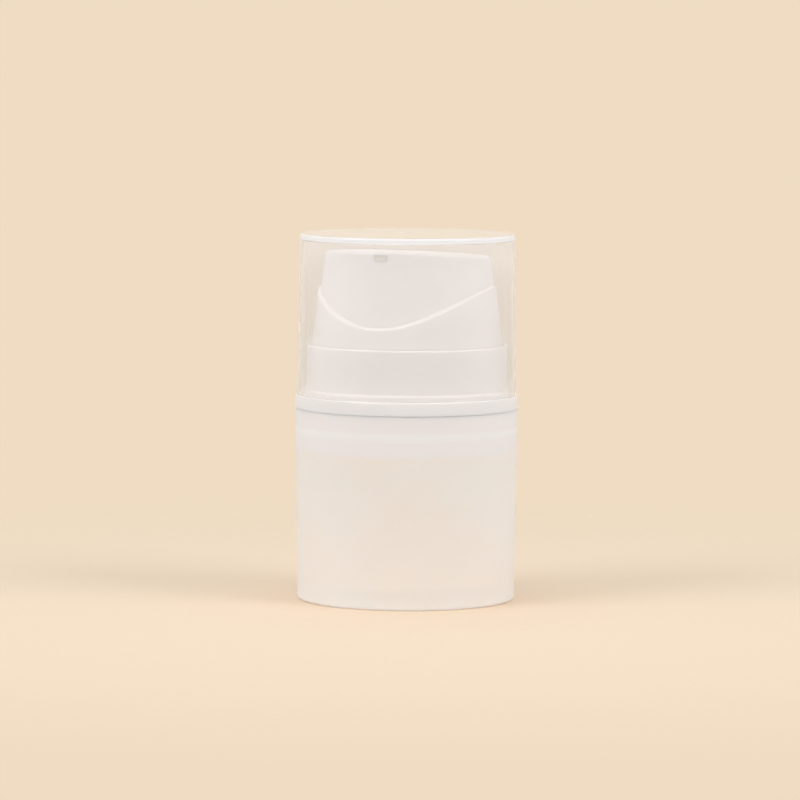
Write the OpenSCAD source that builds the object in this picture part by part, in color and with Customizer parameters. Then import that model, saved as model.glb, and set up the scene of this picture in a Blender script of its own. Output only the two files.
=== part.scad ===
// Airless pump bottle, 30 ml size, with its clear overcap on.
// Millimetres, +Z up, origin at the centre of the standing face, nozzle towards -Y.

/* [Bottle] */
// Height of the bottle, from its standing face to the collar seat
bottle_h = 42.1; // [40:0.1:60]
// Radius of the straight bore that the follower slides in
bore_r = 22.4; // [21:0.1:27]
// Wall of the bottle at its foot
wall_foot = 1.35; // [1:0.05:2.5]
// Wall of the bottle at the collar seat
wall_top = 2; // [1.5:0.05:3]
// Thickness of the floor
floor_t = 1.4; // [1:0.1:2.5]
// Depth of the hollow under the floor
foot_recess = 1; // [0.5:0.1:2]
// Width of the ring that the bottle stands on
foot_w = 2.6; // [1.8:0.1:5]
// Rounding of the foot's outer edge
foot_round = 0.7; // [0.2:0.1:1.2]
// Height of the ribs on the floor, which the follower rests on
floor_rib_h = 1.5; // [0.8:0.1:3]
// Thickness of a floor rib
floor_rib_t = 1; // [0.8:0.1:2]
// Number of floor ribs
floor_ribs = 6; // [3:1:12]
// Radius of the vent hole in the floor
vent_r = 0.75; // [0.5:0.05:1.5]

/* [Collar] */
// How far the collar's skirt plugs into the bottle
skirt_depth = 9.1; // [8.5:0.1:12]
// Wall of the skirt
skirt_wall = 1.35; // [1.1:0.05:2]
// How far the snap bead stands out of the skirt
bead_h = 0.35; // [0.2:0.05:0.5]
// Height of the snap bead
bead_w = 1.2; // [0.8:0.1:2]
// Depth of the snap bead's middle below the collar seat
bead_drop = 4.6; // [3:0.1:6]
// Height of the visible ring
ring_h = 2.9; // [2:0.1:5]
// How far the ring stands out past the bottle
ring_lip = 0.1; // [0:0.05:0.6]
// How much the ring narrows to its top
ring_draft = 0.2; // [0:0.05:0.4]
// Height of the spigot that the overcap pushes on to
spigot_h = 1.4; // [1:0.1:3]
// Height of the guide wall above the ring
guide_h = 11; // [9:0.1:16]
// Wall of the guide at its rim
guide_wall = 0.86; // [0.6:0.02:1]
// How much wider the guide wall is at its foot
guide_draft = 0.15; // [0:0.05:0.2]
// Thickness of the deck that closes the bottle
deck_t = 1.3; // [0.8:0.1:2]
// Height of the boss that holds the pump, above the deck's underside
boss_h = 8; // [6.5:0.1:9]
// Number of gussets on the deck
deck_gussets = 8; // [4:1:12]
// Thickness of a gusset
gusset_t = 0.9; // [0.6:0.1:1.5]
// Height of a gusset above the deck
gusset_h = 2.4; // [1:0.1:3]

/* [Overcap] */
// Wall of the overcap
cap_wall = 1.05; // [0.8:0.05:1.1]
// Thickness of the overcap's top
cap_top_t = 1.25; // [0.8:0.05:3]
// Step from the ring's edge in to the overcap's foot
cap_setback = 0.2; // [0.1:0.05:0.4]
// Draft of the overcap's wall, in degrees
cap_draft = 0.86; // [0.3:0.01:1]
// Rounding of the overcap's top edge
cap_round = 0.45; // [0.1:0.05:0.8]
// Room between the head's front edge and the overcap's top
cap_headroom = 1.35; // [0.6:0.05:8]

/* [Head] */
// Height of the head's front edge above the guide rim
head_h = 21.6; // [19:0.1:26]
// Draft of the head's sides, in degrees
head_draft = 6.2; // [4:0.1:7]
// Depth of the swept ledge round the head
ledge_w = 0.45; // [0.2:0.05:0.8]
// Radius of the arch that sweeps the ledge, across the head
arch_r = 31.4; // [29:0.1:40]
// Height of the arch's crown above the guide rim
arch_crown = 12.9; // [11.5:0.1:15]
// How far the arch's crown lies behind the axis
arch_back = 1.36; // [0:0.02:2]
// Slope of the head's top, down to the back, in degrees
top_tilt = 5.5; // [2:0.1:6]
// Rounding of the head's top edge
top_round = 1.3; // [0.6:0.1:2]
// Side wall of the head
shell_wall = 1.1; // [0.8:0.05:1.4]
// Thickness of the head's top
shell_top = 1.2; // [0.8:0.05:1.4]
// How far the head reaches down into the guide
head_skirt = 6; // [5.5:0.1:8]
// Width of the nozzle slot
slot_w = 2.9; // [2:0.1:4]
// Height of the nozzle slot
slot_h = 1.3; // [0.9:0.1:1.4]
// Depth of the slot's middle below the head's front edge
slot_drop = 2; // [1.95:0.05:2.6]
// Number of ribs inside the head
shell_ribs = 8; // [4:4:12]
// Thickness of a rib inside the head
shell_rib_t = 0.8; // [0.6:0.1:1.2]
// Height of the core's web above the guide rim
web_rise = 1.6; // [1.4:0.1:3]
// Thickness of the core's web
web_t = 1.2; // [0.8:0.1:1.6]
// Wall of the core's socket round the stem
socket_wall = 1.2; // [0.9:0.05:1.6]
// Width of the nozzle duct
duct_w = 5; // [4.4:0.1:6]
// Wall of the spout tip inside the slot
spout_wall = 0.25; // [0.2:0.05:0.4]

/* [Pump] */
// Stroke of the pump
stroke = 4.5; // [3.5:0.1:5]
// How far the stem moves before it takes the piston along
piston_slip = 0.8; // [0.5:0.05:1]
// Radius of the dosing chamber
chamber_r = 4.1; // [3.9:0.05:4.3]
// Wall of the pump housing
housing_wall = 1.2; // [0.9:0.05:1.3]
// How far the pump housing hangs below the collar's deck
nose_drop = 7.4; // [6.4:0.1:8.2]
// Radius of the inlet valve's ball
ball_r = 1.9; // [1.7:0.05:2]
// Lift of the inlet valve's ball
ball_lift = 1; // [0.5:0.1:1.2]
// Radius of the inlet hole
inlet_r = 1.1; // [0.8:0.05:1.2]
// Length of the inlet hole
inlet_l = 0.8; // [0.5:0.1:1.2]
// Room round the ball in its pocket
ball_room = 0.35; // [0.25:0.05:0.5]
// Height of the nibs that keep the ball in
nib_t = 0.8; // [0.6:0.1:1.2]
// How far the nibs reach in over the ball
nib_grip = 0.3; // [0.2:0.05:0.5]
// Width of the flow slots between the nibs
flow_slot_w = 1.2; // [0.8:0.1:1.6]
// Outer radius of the stem
stem_r = 2.5; // [2.3:0.05:2.6]
// Radius of the stem's bore
stem_bore_r = 1.3; // [1:0.05:1.4]
// Length of the pump piston
piston_h = 4.85; // [4.4:0.05:5.5]
// Thickness of the stem's shoulder
shoulder_t = 1.3; // [0.8:0.1:2]
// Gap round the stem's shoulder in the chamber
shoulder_gap = 0.7; // [0.5:0.05:0.9]
// Step in to the part of the stem that carries the piston
stem_step = 0.3; // [0.2:0.05:0.35]
// Flow gap between the piston rod's cone and the stem's foot
stem_lift = 0.6; // [0.4:0.1:0.8]
// How far the stem stands up past the core's web
stem_reach = 3; // [2:0.1:5]
// Thickness of the piston rod's head below its cone
rod_head_t = 0.8; // [0.5:0.1:1.2]
// Gap round the piston rod's head in the chamber
rod_gap = 0.8; // [0.6:0.05:0.9]
// Height of the piston rod's cone
rod_cone_h = 1.7; // [1.4:0.05:1.8]
// How far up the cone the piston sits
rod_seat_h = 0.7; // [0.5:0.05:0.9]
// Length of the piston rod's pin above its cone
pin_l = 5.5; // [3:0.1:8]
// Height of the pump housing above the stem's stop
housing_lip = 1; // [0.6:0.1:1.5]
// Thickness of the chaplet's top
chaplet_t = 1.2; // [0.9:0.1:2]
// Wall of the chaplet's skirt
chaplet_wall = 1; // [0.8:0.05:1.5]
// How far the chaplet's skirt reaches down over the boss
chaplet_grip = 3.2; // [2.4:0.1:4]
// Height of the chaplet's stem guide
guide_tube_h = 1.8; // [1:0.1:2.5]
// Wall of the chaplet's stem guide
guide_tube_wall = 0.85; // [0.6:0.05:1.1]
// Width of the rim that the gasket seals on
flange_w = 2.5; // [2:0.1:3]
// Thickness of the gasket
gasket_t = 0.8; // [0.5:0.1:1.2]
// Thickness of the pump housing's flange
flange_t = 1; // [0.8:0.1:1.4]

/* [Spring] */
// Radius of the spring's wire
wire_r = 0.35; // [0.25:0.01:0.4]
// Radius of the spring, to the middle of the wire
coil_r = 4.5; // [4.2:0.1:5.5]
// Number of turns
turns = 5; // [4:0.5:6]

/* [Follower] */
// Height of the follower
follower_h = 11.5; // [10:0.1:13]
// Wall of the follower
follower_wall = 1.1; // [0.8:0.05:1.6]
// Thickness of the follower's web
follower_web = 1.2; // [0.8:0.1:2]
// Depth of the web's face below the upper lip
follower_dish = 0.8; // [0.4:0.1:2]
// Height of a wiping lip
lip_h = 0.8; // [0.5:0.1:1.2]
// How far the lips stand out of the follower's side
lip_w = 0.8; // [0.4:0.05:1.2]
// Number of ribs under the web
follower_ribs = 8; // [4:1:12]

/* [Fits] */
// Gap between pieces that are pushed or snapped together
fit = 0.05; // [0.03:0.01:0.1]
// Running gap of what slides or turns on another piece
run = 0.03; // [0.02:0.01:0.06]
// Gap round the head in the collar's guide
head_gap = 0.2; // [0.15:0.05:0.4]
// Space left at the ends of a travel
end_gap = 0.4; // [0.1:0.05:0.5]
// Space round the pump when the follower is right up
nest_gap = 0.9; // [0.4:0.1:1.5]

/* [Hidden] */
$fn = 96;
// Small overlap of pieces that are joined, and how far a cutter runs past a face
e = 0.01;
past = 1;

// Radii from the bore outwards, and from the bore inwards
foot_r = bore_r + wall_foot;
seat_r = bore_r + wall_top;
ring_r = seat_r + ring_lip;
ring_top_r = ring_r - ring_draft;
cap_foot_r = ring_top_r - cap_setback;
cap_bore_r = cap_foot_r - cap_wall;
skirt_r = bore_r - fit;
guide_r = skirt_r - skirt_wall;
head_r = guide_r - head_gap;

// Heights of the outside, from the standing face up
floor_z = foot_recess + floor_t;
deck_z = bottle_h - skirt_depth;
ring_top_z = bottle_h + ring_h;
rim_z = ring_top_z + guide_h;
head_top_z = rim_z + head_h;
cap_top_z = head_top_z + cap_headroom + cap_top_t;
head_foot_z = rim_z - head_skirt;

// Follower at rest on the floor ribs, and its travel up to the deck
follower_z = floor_z + floor_rib_h + fit;
follower_top_z = follower_z + follower_h;
follower_travel = deck_z - end_gap / 4 - follower_top_z;

// Inlet valve: the ball touches its 45 degree seat
nose_z = deck_z - nose_drop;
seat_apex_z = nose_z + inlet_l - inlet_r;
ball_z = seat_apex_z + (ball_r + run) * sqrt(2);
pocket_r = ball_r + ball_room;
nib_z = ball_z + ball_r + ball_lift + fit;
nib_r = ball_r - nib_grip;
chamber_z = nib_z + nib_t;

// Piston, rod and stem, from the chamber's floor up
rod_z = chamber_z + stroke + end_gap;
rod_cone_z = rod_z + rod_head_t;
rod_r = chamber_r - rod_gap;
piston_z = rod_cone_z + rod_seat_h;
piston_seat_r = rod_r - rod_seat_h;
piston_top_z = piston_z + piston_h;
stem_foot_z = rod_cone_z + rod_cone_h + stem_lift;
stem_low_r = stem_r - stem_step;
shoulder_z = piston_top_z + piston_slip + fit;
shoulder_r = chamber_r - shoulder_gap;
stop_z = shoulder_z + shoulder_t + fit;

// Pump housing, gasket and chaplet on the collar's boss
housing_r = chamber_r + housing_wall;
housing_top_z = stop_z + housing_lip;
boss_top_z = deck_z + boss_h;
flange_z = boss_top_z + gasket_t;
flange_r = housing_r + flange_w;
chaplet_r = flange_r + 2 * fit + chaplet_wall;
chaplet_z = boss_top_z - chaplet_grip;
chaplet_top_z = housing_top_z + fit + chaplet_t;
tube_r = stem_r + run + guide_tube_wall;
tube_top_z = chaplet_top_z + guide_tube_h;

// Core of the head
web_z = rim_z + web_rise;
socket_z = tube_top_z + stroke + end_gap;
stem_top_z = web_z + web_t + stem_reach;
core_r = stem_r + run + socket_wall;
core_gussets = 4;

// Top of the head: a plane that slopes from the front edge down to the back
draft_t = tan(head_draft);
top_front_r = head_r - ledge_w - draft_t * head_h;
top_drop = 2 * top_front_r * tan(top_tilt) / (1 - draft_t * tan(top_tilt));
top_half = (top_front_r + draft_t * top_drop / 2) / cos(top_tilt);

// Ring with a square section, from radius a to radius b
module tube(a, b, z, h) {
    translate([0, 0, z]) difference() {
        cylinder(h = h, r = b);
        translate([0, 0, -past]) cylinder(h = h + 2 * past, r = a);
    }
}

// Cutter that rounds a disc's upper outer edge at radius r and height z
module edge_cutter(r, z, round_r) {
    rotate_extrude() translate([r - round_r, z - round_r]) difference() {
        square(round_r + past);
        circle(round_r);
    }
}

// The same for a lower outer edge
module foot_cutter(r, z, round_r) {
    translate([0, 0, z]) mirror([0, 0, 1]) edge_cutter(r, 0, round_r);
}

// Bead round a wall of radius r: a low arc, h proud and w high, bulging outwards
module bead(r, z, h, w) {
    arc_r = (w * w / 4 + h * h) / (2 * h);
    rotate_extrude() intersection() {
        translate([r + h - arc_r, z]) circle(arc_r);
        translate([r - 0.4, z - w]) square([h + 1, 2 * w]);
    }
}

// Radial plates, from radius a to radius b
module spokes(n, a, b, z, h, t, turn = 0) {
    for (i = [0 : n - 1])
        rotate([0, 0, turn + i * 360 / n]) translate([a, -t / 2, z]) cube([b - a, t, h]);
}

// Sloping side, with radius r at the guide rim
module drafted(r, z0, z1) {
    translate([0, 0, z0])
        cylinder(h = z1 - z0, r1 = r - draft_t * (z0 - rim_z), r2 = r - draft_t * (z1 - rim_z));
}

// Arch across the head, whose edge on the sides is the swept ledge
module arch(inset) {
    translate([-2 * head_r, arch_back, rim_z + arch_crown - arch_r])
        rotate([0, 90, 0]) cylinder(h = 4 * head_r, r = arch_r - inset, $fn = 192);
}

// Frame on the head's top: its origin is the front edge, its Y runs back down the slope
module on_top() {
    translate([0, -top_front_r, head_top_z]) rotate([-top_tilt, 0, 0]) children();
}

// What lies under the head's sloping top, with its rounded edge. The rounding sits further in at the
// front, where the corner is squarer, than at the back. Below it the shape flares clear of the sides.
module under_top() {
    front_in = top_round * tan(45 - (head_draft - top_tilt) / 2);
    back_in = top_round * tan(45 - (head_draft + top_tilt) / 2);
    arc_x = top_half - (front_in + back_in) / 2 + 0.02;
    flare = 25;
    reach = 2 * head_h;
    on_top() translate([0, top_half + (front_in - back_in) / 2, 0]) rotate_extrude() union() {
        polygon([[0, 0], [arc_x, 0], [arc_x, -top_round],
                 [arc_x + top_round * cos(flare), top_round * sin(flare) - top_round],
                 [arc_x + top_round + reach * tan(flare), -reach], [0, -reach]]);
        translate([arc_x, -top_round]) circle(top_round);
    }
}

// Outside of the head above the guide rim, drawn in by inset
module head_sides(inset) {
    intersection() {
        drafted(head_r - inset, rim_z, head_top_z + 3);
        arch(inset);
    }
    drafted(head_r - ledge_w - inset, rim_z, head_top_z + 3);
}

// Flat slope, a given depth below the head's top
module below_top(depth) {
    on_top() translate([-2 * head_r, -2 * head_r, -depth - 3 * head_h])
        cube([4 * head_r, 6 * head_r, 3 * head_h]);
}

module bottle_body() color([0.93, 0.89, 0.85, 0.6]) {
    difference() {
        cylinder(h = bottle_h, r1 = foot_r, r2 = seat_r);
        translate([0, 0, floor_z]) cylinder(h = bottle_h, r = bore_r);
        translate([0, 0, -1]) cylinder(h = foot_recess + 1, r = foot_r - foot_w);
        translate([0, 0, -1]) cylinder(h = floor_z + 2, r = vent_r);
        translate([0, 0, bottle_h - 0.4]) cylinder(h = 1, r1 = bore_r, r2 = bore_r + 1);
        bead(bore_r, bottle_h - bead_drop, bead_h, bead_w + 2 * fit);
        foot_cutter(foot_r, 0, foot_round);
    }
    intersection() {
        spokes(floor_ribs, bore_r / 3, bore_r + wall_foot / 2, floor_z - 0.2, floor_rib_h + 0.2, floor_rib_t);
        cylinder(h = bottle_h, r = bore_r + wall_foot / 2);
    }
}

module follower_piston() color([0.96, 0.95, 0.93]) {
    lip_r = bore_r - run;
    side_r = lip_r - lip_w;
    well_r = housing_r + nest_gap;
    well_floor = nose_z - follower_travel - nest_gap / 2;
    web_top = follower_top_z - follower_dish;
    inner_r = side_r - follower_wall;
    // side wall, with a lip that flares out at each end
    rotate_extrude() polygon([
        [inner_r, follower_z + lip_h], [side_r, follower_z], [lip_r - 0.2, follower_z],
        [lip_r, follower_z + 0.2], [lip_r, follower_z + lip_h / 2],
        [side_r, follower_z + 2 * lip_h], [side_r, follower_top_z - 2 * lip_h],
        [lip_r, follower_top_z - lip_h / 2], [lip_r, follower_top_z - 0.2],
        [lip_r - 0.2, follower_top_z], [side_r, follower_top_z], [inner_r, web_top]
    ]);
    // web, with the well that takes the pump's nose
    difference() {
        union() {
            translate([0, 0, web_top - follower_web])
                cylinder(h = follower_web, r = inner_r + follower_wall / 2);
            translate([0, 0, well_floor - follower_web])
                cylinder(h = web_top - well_floor, r = well_r + follower_web);
        }
        translate([0, 0, well_floor]) cylinder(h = follower_h, r = well_r);
    }
    // ribs under the web
    spokes(follower_ribs, well_r + follower_web / 2, inner_r + follower_wall / 2,
           web_top - follower_web - 3, 3 + follower_web / 2, gusset_t, 180 / follower_ribs);
}

module collar() color([0.97, 0.96, 0.95]) {
    difference() {
        union() {
            translate([0, 0, deck_z]) cylinder(h = skirt_depth + ring_h, r = skirt_r);
            bead(skirt_r, bottle_h - bead_drop, bead_h - fit, bead_w);
            translate([0, 0, bottle_h]) cylinder(h = ring_h, r1 = ring_r, r2 = ring_top_r);
            translate([0, 0, ring_top_z - e]) cylinder(h = spigot_h + e, r = cap_bore_r - fit);
            translate([0, 0, ring_top_z - e])
                cylinder(h = guide_h + e, r1 = guide_r + guide_wall + guide_draft, r2 = guide_r + guide_wall);
        }
        translate([0, 0, deck_z + deck_t]) cylinder(h = rim_z, r = guide_r);
        translate([0, 0, deck_z - 1]) cylinder(h = deck_t + 2, r = housing_r + fit);
        edge_cutter(ring_top_r, ring_top_z, cap_setback / 2);
        edge_cutter(cap_bore_r - fit, ring_top_z + spigot_h, 0.5);
        edge_cutter(guide_r + guide_wall, rim_z, guide_wall / 3);
        foot_cutter(skirt_r, deck_z, 0.4);
    }
    // boss that holds the pump, with the groove for the chaplet's bead
    difference() {
        tube(housing_r + fit, flange_r, deck_z, boss_h);
        bead_groove(flange_r, chaplet_z + 0.8);
    }
    spokes(deck_gussets, flange_r - 0.6, guide_r + 0.6, deck_z + deck_t / 2, gusset_h + deck_t / 2,
           gusset_t, 180 / deck_gussets);
}

// Groove in a wall of radius r, a little larger than the chaplet's bead
module bead_groove(r, z) {
    rotate_extrude() polygon([[r + 1, z - 0.6], [r - 0.01, z - 0.6], [r - 0.3, z - 0.2],
                              [r - 0.3, z + 0.2], [r - 0.01, z + 0.6], [r + 1, z + 0.6]]);
}

module pump_gasket() color([0.82, 0.83, 0.86])
    tube(housing_r + fit, flange_r, boss_top_z, gasket_t);

module pump_housing() color([0.95, 0.95, 0.96]) {
    nose_r = pocket_r + housing_wall;
    difference() {
        union() {
            translate([0, 0, nose_z]) cylinder(h = nib_z - nose_z, r = nose_r);
            translate([0, 0, nib_z - 1.2])
                cylinder(h = housing_r - nose_r, r1 = nose_r, r2 = housing_r);
            translate([0, 0, nib_z - 1.2 + housing_r - nose_r])
                cylinder(h = housing_top_z - nib_z + 1.2 - housing_r + nose_r, r = housing_r);
            translate([0, 0, flange_z]) cylinder(h = flange_t, r = flange_r);
        }
        translate([0, 0, nose_z - 1]) cylinder(h = inlet_l + 2, r = inlet_r);
        translate([0, 0, seat_apex_z + inlet_r])
            cylinder(h = pocket_r - inlet_r, r1 = inlet_r, r2 = pocket_r);
        translate([0, 0, seat_apex_z + pocket_r]) cylinder(h = nib_z - seat_apex_z - pocket_r, r = pocket_r);
        translate([0, 0, nib_z - e]) cylinder(h = nib_t + 2 * e, r = nib_r);
        translate([0, 0, chamber_z]) cylinder(h = housing_top_z, r = chamber_r);
        foot_cutter(nose_r, nose_z, 0.5);
        // flow slots past the nibs that keep the ball in
        for (a = [0, 90]) rotate([0, 0, a])
            translate([-pocket_r, -flow_slot_w / 2, nib_z - e])
                cube([2 * pocket_r, flow_slot_w, nib_t + 2 * e]);
    }
}

module inlet_ball() color([0.75, 0.76, 0.78])
    translate([0, 0, ball_z]) sphere(ball_r);

module piston_rod() color([0.93, 0.94, 0.96]) {
    pin_r = stem_bore_r - fit;
    flute_t = 0.6 * pin_r;
    translate([0, 0, rod_z]) cylinder(h = rod_head_t, r = rod_r);
    translate([0, 0, rod_cone_z])
        cylinder(h = rod_cone_h, r1 = rod_r - fit, r2 = rod_r - fit - rod_cone_h);
    // fluted pin that is pushed up into the stem's bore
    intersection() {
        translate([0, 0, rod_cone_z]) cylinder(h = rod_cone_h + pin_l, r = pin_r);
        for (a = [0, 90]) rotate([0, 0, a])
            translate([-pin_r, -flute_t / 2, rod_cone_z]) cube([2 * pin_r, flute_t, rod_cone_h + pin_l]);
    }
}

module pump_piston() color([0.98, 0.98, 0.98]) {
    lip = chamber_r - run;
    waist = chamber_r - 0.6;
    bore = stem_low_r + fit;
    cavity = waist - 0.7;
    rotate_extrude() polygon([
        [piston_seat_r, piston_z], [waist, piston_z], [lip, piston_z - 0.3], [lip, piston_z + 0.3],
        [waist, piston_z + 1.2], [waist, piston_top_z - 1.2], [lip, piston_top_z - 0.3],
        [lip, piston_top_z], [lip - 0.25, piston_top_z], [waist - 0.4, piston_top_z - 1.1],
        [bore + 0.6, piston_top_z - 1.1], [bore + 0.6, piston_top_z], [bore, piston_top_z],
        [bore, piston_z + 2.6], [cavity, piston_z + 2.1], [cavity, piston_z + 0.5]
    ]);
}

module pump_stem() color([0.95, 0.96, 0.97])
    difference() {
        union() {
            translate([0, 0, stem_foot_z]) cylinder(h = shoulder_z - stem_foot_z, r = stem_low_r);
            translate([0, 0, shoulder_z]) cylinder(h = shoulder_t, r = shoulder_r);
            translate([0, 0, shoulder_z]) cylinder(h = stem_top_z - shoulder_z, r = stem_r);
        }
        translate([0, 0, stem_foot_z - 1]) cylinder(h = stem_top_z, r = stem_bore_r);
        edge_cutter(stem_r, stem_top_z, 0.3);
    }

module chaplet() color([0.94, 0.94, 0.95]) {
    difference() {
        union() {
            translate([0, 0, chaplet_z]) cylinder(h = chaplet_top_z - chaplet_z, r = chaplet_r);
            translate([0, 0, chaplet_top_z - e]) cylinder(h = guide_tube_h + e, r = tube_r);
        }
        // room for the boss and the flange, and round the top of the housing
        translate([0, 0, chaplet_z - 1])
            cylinder(h = flange_z + flange_t + fit - chaplet_z + 1, r = flange_r + 2 * fit);
        translate([0, 0, chaplet_z])
            cylinder(h = housing_top_z + fit - chaplet_z, r = flange_r - 0.9);
        translate([0, 0, chaplet_z]) cylinder(h = chaplet_top_z, r = stem_r + run);
        edge_cutter(chaplet_r, chaplet_top_z, 0.5);
    }
    // plug that centres it in the chamber, and stops the stem's shoulder
    tube(stem_r + run, chamber_r - fit, stop_z, chaplet_top_z - stop_z - chaplet_t / 2);
    // snap bead inside the skirt
    rotate_extrude() polygon([
        [flange_r + 2 * fit + 0.3, chaplet_z + 0.3], [flange_r - 0.2, chaplet_z + 0.65],
        [flange_r - 0.2, chaplet_z + 0.95], [flange_r + 2 * fit + 0.3, chaplet_z + 1.3]
    ]);
}

// Spring between the chaplet and the core's web, with its end turns closer together
spring_low_z = chaplet_top_z + wire_r;
spring_h = web_z - chaplet_top_z - 2 * wire_r;
spring_steps = 20;
spring_rings = floor(turns * spring_steps);
function spring_spot(i) = let (a = 360 * i / spring_steps, t = i / spring_rings)
    [coil_r * cos(a), coil_r * sin(a), spring_low_z + spring_h * (t - 0.3 * sin(360 * t) / (2 * PI))];
spring_gap = min([for (i = [0 : spring_rings - spring_steps])
    norm(spring_spot(i + spring_steps) - spring_spot(i))]) - 2 * wire_r;
echo(least_gap_between_spring_turns = spring_gap);

module return_spring() color([0.72, 0.73, 0.75]) {
    sides = 8;
    points = [for (i = [0 : spring_rings]) let (a = 360 * i / spring_steps)
        for (j = [0 : sides - 1]) let (b = 360 * j / sides)
            spring_spot(i) + wire_r * [cos(b) * cos(a), cos(b) * sin(a), sin(b)]];
    walls = [for (i = [0 : spring_rings - 1]) for (j = [0 : sides - 1])
        let (k = (j + 1) % sides, p = i * sides, q = p + sides)
            each [[p + j, q + j, p + k], [p + k, q + j, q + k]]];
    first = [for (j = [1 : sides - 2]) [0, j, j + 1]];
    last = [for (j = [1 : sides - 2]) let (q = spring_rings * sides) [q, q + j + 1, q + j]];
    polyhedron(points, concat(walls, first, last));
}

// Web, stem socket and nozzle duct
module actuator_core() color([0.95, 0.95, 0.94]) {
    duct_foot = shell_top + 2.6;
    lip_z = slot_drop + slot_h / 2 - spout_wall;
    inside = shell_wall + fit;
    difference() {
        union() {
            drafted(head_r - inside, web_z, web_z + web_t);
            translate([0, 0, socket_z]) cylinder(h = web_z - socket_z + 1, r = core_r);
            intersection() {
                translate([0, 0, web_z]) cylinder(h = head_h, r = core_r);
                below_top(shell_top + fit);
            }
            // duct along the underside of the head's top, forward to the slot
            intersection() {
                head_sides(inside);
                on_top() translate([-duct_w / 2, -5, -duct_foot])
                    cube([duct_w, top_half + 5, duct_foot - shell_top - fit]);
            }
            // spout tip inside the slot, a little short of the outside
            intersection() {
                head_sides(0.25);
                on_top() translate([-slot_w / 2 + fit, -5, -slot_drop - slot_h / 2 + fit])
                    cube([slot_w - 2 * fit, 8, slot_h - 2 * fit]);
            }
            // gussets between the web and the socket
            for (i = [0 : core_gussets - 1]) rotate([90, 0, 45 + i * 360 / core_gussets])
                translate([0, 0, -gusset_t / 2]) linear_extrude(gusset_t)
                    polygon([[core_r - 1, web_z + web_t / 2], [head_r * 0.72, web_z + web_t / 2],
                             [head_r * 0.72, web_z + web_t + 0.6], [core_r - 1, web_z + web_t + 8]]);
        }
        translate([0, 0, socket_z - 1]) cylinder(h = stem_top_z + fit - socket_z + 1, r = stem_r + run);
        // riser, and the trough forward from it, which the underside of the head's top closes
        translate([0, 0, stem_top_z]) cylinder(h = head_h, r = stem_bore_r);
        on_top() translate([-slot_w / 2 + spout_wall, -6, -lip_z])
            cube([slot_w - 2 * spout_wall, top_half + 6, lip_z]);
    }
}

module actuator_shell() color([0.97, 0.96, 0.96]) {
    rib_foot = web_z + web_t + fit;
    difference() {
        intersection() {
            union() {
                head_sides(0);
                translate([0, 0, head_foot_z]) cylinder(h = head_skirt, r = head_r);
            }
            under_top();
        }
        intersection() {
            head_sides(shell_wall);
            below_top(shell_top);
        }
        translate([0, 0, head_foot_z - 1]) cylinder(h = head_skirt + 1, r = head_r - shell_wall);
        on_top() translate([-slot_w / 2, -6, -slot_drop - slot_h / 2]) cube([slot_w, 9, slot_h]);
        foot_cutter(head_r, head_foot_z, 0.3);
    }
    // ribs that stop the core's web from above
    intersection() {
        spokes(shell_ribs, head_r - 4, head_r, rib_foot, head_h, shell_rib_t, 180 / shell_ribs);
        head_sides(shell_wall / 2);
        below_top(shell_top / 2);
    }
    // snap bead under the web
    rotate_extrude() polygon([
        [head_r - shell_wall + 0.3, rim_z + 0.5], [head_r - shell_wall - 0.35, web_z - 0.4],
        [head_r - shell_wall - 0.35, web_z - 0.2], [head_r - shell_wall + 0.1, web_z - fit]
    ]);
}

module overcap() color([0.9, 0.91, 0.93, 0.35]) {
    cap_h = cap_top_z - ring_top_z;
    slope = tan(cap_draft);
    translate([0, 0, ring_top_z]) difference() {
        cylinder(h = cap_h, r1 = cap_foot_r, r2 = cap_foot_r - slope * cap_h);
        translate([0, 0, -1])
            cylinder(h = cap_h - cap_top_t + 1, r1 = cap_bore_r + slope, r2 = cap_bore_r - slope * (cap_h - cap_top_t));
        edge_cutter(cap_foot_r - slope * cap_h, cap_h, cap_round);
    }
}

bottle_body();
follower_piston();
collar();
pump_gasket();
pump_housing();
inlet_ball();
piston_rod();
pump_piston();
pump_stem();
chaplet();
return_spring();
actuator_core();
actuator_shell();
overcap();
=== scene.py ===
import math

import bpy
from mathutils import Matrix, Vector


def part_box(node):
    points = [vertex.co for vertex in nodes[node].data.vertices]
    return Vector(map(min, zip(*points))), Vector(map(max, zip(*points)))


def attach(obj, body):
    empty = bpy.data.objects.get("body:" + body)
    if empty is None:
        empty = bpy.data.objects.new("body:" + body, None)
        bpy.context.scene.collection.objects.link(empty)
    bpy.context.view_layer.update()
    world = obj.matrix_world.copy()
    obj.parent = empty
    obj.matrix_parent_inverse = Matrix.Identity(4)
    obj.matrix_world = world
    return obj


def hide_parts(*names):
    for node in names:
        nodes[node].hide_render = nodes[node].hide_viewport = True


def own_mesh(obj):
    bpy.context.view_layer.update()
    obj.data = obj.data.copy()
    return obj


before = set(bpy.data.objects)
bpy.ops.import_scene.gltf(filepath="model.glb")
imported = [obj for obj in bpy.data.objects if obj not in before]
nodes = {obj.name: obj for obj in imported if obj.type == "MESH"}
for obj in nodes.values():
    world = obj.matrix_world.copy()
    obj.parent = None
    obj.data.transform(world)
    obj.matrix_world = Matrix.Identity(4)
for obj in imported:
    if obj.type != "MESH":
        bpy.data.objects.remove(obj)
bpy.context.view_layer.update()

# Sizes below are in millimetres unless a note says otherwise; Blender itself works in metres.
mm = 0.001


# small tools

def boxOf(node):
    # lowest and highest corner of a CAD node, in mm
    low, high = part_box(node)
    return low / mm, high / mm


def hexColour(text):
    # an sRGB hex value as the linear colour that the shaders want
    parts = [int(text[i:i + 2], 16) / 255 for i in (1, 3, 5)]
    return [p / 12.92 if p <= 0.04045 else ((p + 0.055) / 1.055) ** 2.4 for p in parts] + [1]


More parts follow.
